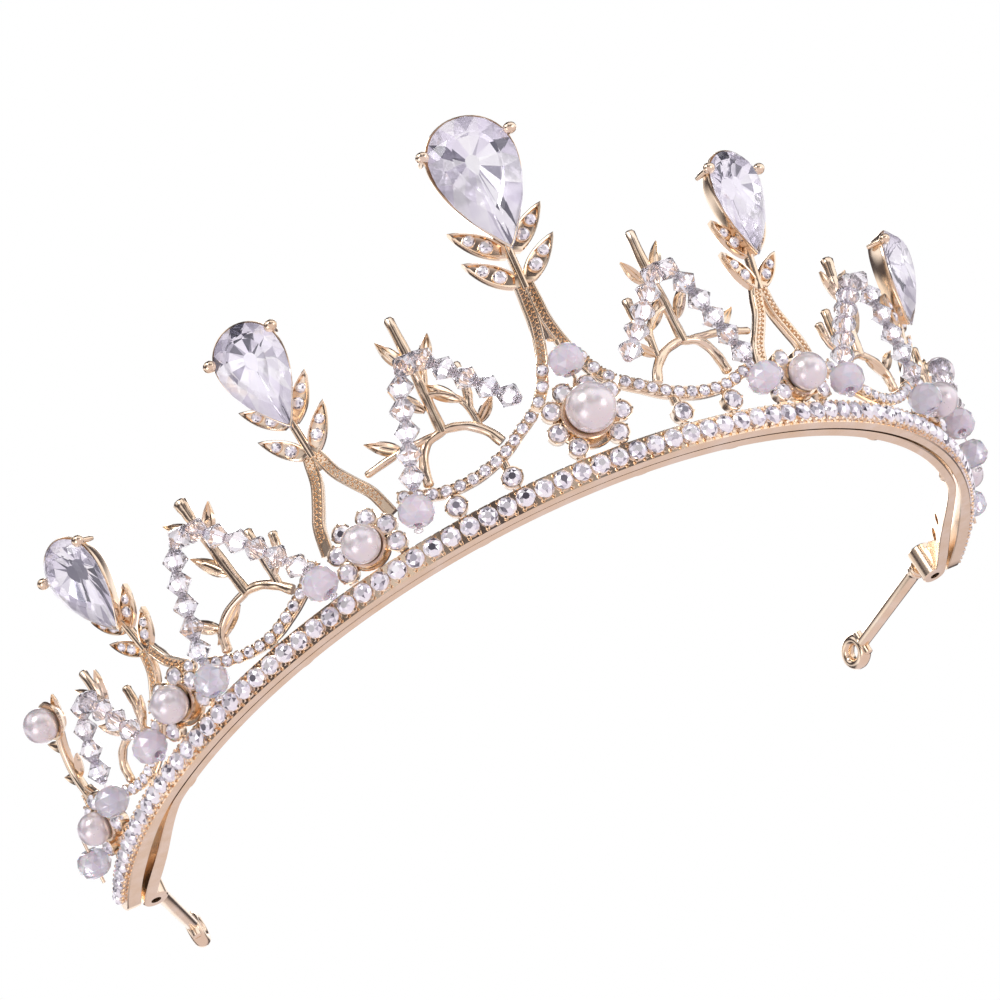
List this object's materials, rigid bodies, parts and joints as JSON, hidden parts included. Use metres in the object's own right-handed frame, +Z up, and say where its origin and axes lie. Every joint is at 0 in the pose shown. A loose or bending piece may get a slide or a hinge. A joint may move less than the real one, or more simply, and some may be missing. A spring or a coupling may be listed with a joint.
{
  "type": "bridal tiara",
  "caption": "Gold-coloured stone-set tiara with pear-cut crystal spires, pearl flowers, twig branches, bead strands and end arms with eyes.",
  "frame": {"origin": "middle of the footprint on the resting plane, under the band's flat underside", "axes": "+X to the right as seen from the front, -Y to the front of the tiara, +Z up"},
  "size_m": [0.157, 0.1214, 0.0516],
  "materials": {
    "gold": "polished pale gold plating",
    "crystal": "faceted, foil-backed",
    "pearl": "pearly lacquer",
    "opal_glass": "milky, faceted",
    "clear_bead": "faceted, iridescent"
  },
  "bodies": {
    "tiara": {"arm_left": "gold", "arm_right": "gold", "back_rail": "gold", "band_stones": "crystal", "branch_left_1": "gold", "branch_left_2": "gold", "branch_left_3": "gold", "branch_right_1": "gold", "branch_right_2": "gold", "branch_right_3": "gold", "crystal_centre": "crystal", "crystal_left_1": "crystal", "crystal_left_2": "crystal", "crystal_right_1": "crystal", "crystal_right_2": "crystal", "end_spire_left": "gold", "end_spire_right": "gold", "end_wire_left": "gold", "end_wire_right": "gold", "front_band": "gold", "pearl_centre": "pearl", "pearl_left_1": "pearl", "pearl_left_2": "pearl", "pearl_left_low": "pearl", "pearl_left_top": "pearl", "pearl_right_1": "pearl", "pearl_right_2": "pearl", "pearl_right_low": "pearl", "pearl_right_top": "pearl", "spire_centre": "gold", "spire_left_1": "gold", "spire_left_2": "gold", "spire_right_1": "gold", "spire_right_2": "gold", "strand_left_1": "clear_bead", "strand_left_2": "clear_bead", "strand_left_3": "clear_bead", "strand_right_1": "clear_bead", "strand_right_2": "clear_bead", "strand_right_3": "clear_bead", "swag_left_1": "gold", "swag_left_2": "gold", "swag_left_3": "gold", "swag_right_1": "gold", "swag_right_2": "gold", "swag_right_3": "gold"},
    "opal_centre_body": {"opal_centre": "opal_glass"},
    "opal_left_1_outer_body": {"opal_left_1_outer": "opal_glass"},
    "opal_left_2_inner_body": {"opal_left_2_inner": "opal_glass"},
    "opal_left_2_outer_body": {"opal_left_2_outer": "opal_glass"},
    "opal_left_3_inner_body": {"opal_left_3_inner": "opal_glass"},
    "opal_left_3_outer_body": {"opal_left_3_outer": "opal_glass"},
    "opal_left_end_body": {"opal_left_end": "opal_glass"},
    "opal_right_1_outer_body": {"opal_right_1_outer": "opal_glass"},
    "opal_right_2_inner_body": {"opal_right_2_inner": "opal_glass"},
    "opal_right_2_outer_body": {"opal_right_2_outer": "opal_glass"},
    "opal_right_3_inner_body": {"opal_right_3_inner": "opal_glass"},
    "opal_right_3_outer_body": {"opal_right_3_outer": "opal_glass"},
    "opal_right_end_body": {"opal_right_end": "opal_glass"}
  },
  "joints": [
    {"name": "opal_centre_spin", "type": "hinge", "parent": "tiara", "child": "opal_centre_body", "pos_m": [0, -0.04969, 0.01555], "axis": [0, -0.2164, 0.9763], "continuous": true},
    {"name": "opal_left_1_outer_spin", "type": "hinge", "parent": "tiara", "child": "opal_left_1_outer_body", "pos_m": [-0.02636, -0.04269, 0.00609], "axis": [0.3023, -0.2473, 0.9206], "continuous": true},
    {"name": "opal_left_2_inner_spin", "type": "hinge", "parent": "tiara", "child": "opal_left_2_inner_body", "pos_m": [-0.0405, -0.03519, 0.00511], "axis": [-0.2914, 0.0508, 0.9553], "continuous": true},
    {"name": "opal_left_2_outer_spin", "type": "hinge", "parent": "tiara", "child": "opal_left_2_outer_body", "pos_m": [-0.05647, -0.021, 0.00462], "axis": [-0.0058, -0.1933, 0.9811], "continuous": true},
    {"name": "opal_left_3_inner_spin", "type": "hinge", "parent": "tiara", "child": "opal_left_3_inner_body", "pos_m": [-0.0656, -0.00808, 0.00501], "axis": [-0.276, 0.2462, 0.9291], "continuous": true},
    {"name": "opal_left_3_outer_spin", "type": "hinge", "parent": "tiara", "child": "opal_left_3_outer_body", "pos_m": [-0.07161, 0.00508, 0.0055], "axis": [-0.0297, -0.3033, 0.9524], "continuous": true},
    {"name": "opal_left_end_spin", "type": "hinge", "parent": "tiara", "child": "opal_left_end_body", "pos_m": [-0.07529, 0.02167, 0.00494], "axis": [-0.1152, -0.553, 0.8252], "continuous": true},
    {"name": "opal_right_1_outer_spin", "type": "hinge", "parent": "tiara", "child": "opal_right_1_outer_body", "pos_m": [0.02636, -0.04269, 0.00609], "axis": [-0.3023, -0.2473, 0.9206], "continuous": true},
    {"name": "opal_right_2_inner_spin", "type": "hinge", "parent": "tiara", "child": "opal_right_2_inner_body", "pos_m": [0.0405, -0.03519, 0.00511], "axis": [0.2914, 0.0508, 0.9553], "continuous": true},
    {"name": "opal_right_2_outer_spin", "type": "hinge", "parent": "tiara", "child": "opal_right_2_outer_body", "pos_m": [0.05647, -0.021, 0.00462], "axis": [0.0058, -0.1933, 0.9811], "continuous": true},
    {"name": "opal_right_3_inner_spin", "type": "hinge", "parent": "tiara", "child": "opal_right_3_inner_body", "pos_m": [0.0656, -0.00808, 0.00501], "axis": [0.276, 0.2462, 0.9291], "continuous": true},
    {"name": "opal_right_3_outer_spin", "type": "hinge", "parent": "tiara", "child": "opal_right_3_outer_body", "pos_m": [0.07161, 0.00508, 0.0055], "axis": [0.0297, -0.3033, 0.9524], "continuous": true},
    {"name": "opal_right_end_spin", "type": "hinge", "parent": "tiara", "child": "opal_right_end_body", "pos_m": [0.07529, 0.02167, 0.00494], "axis": [0.1152, -0.553, 0.8252], "continuous": true}
  ]
}
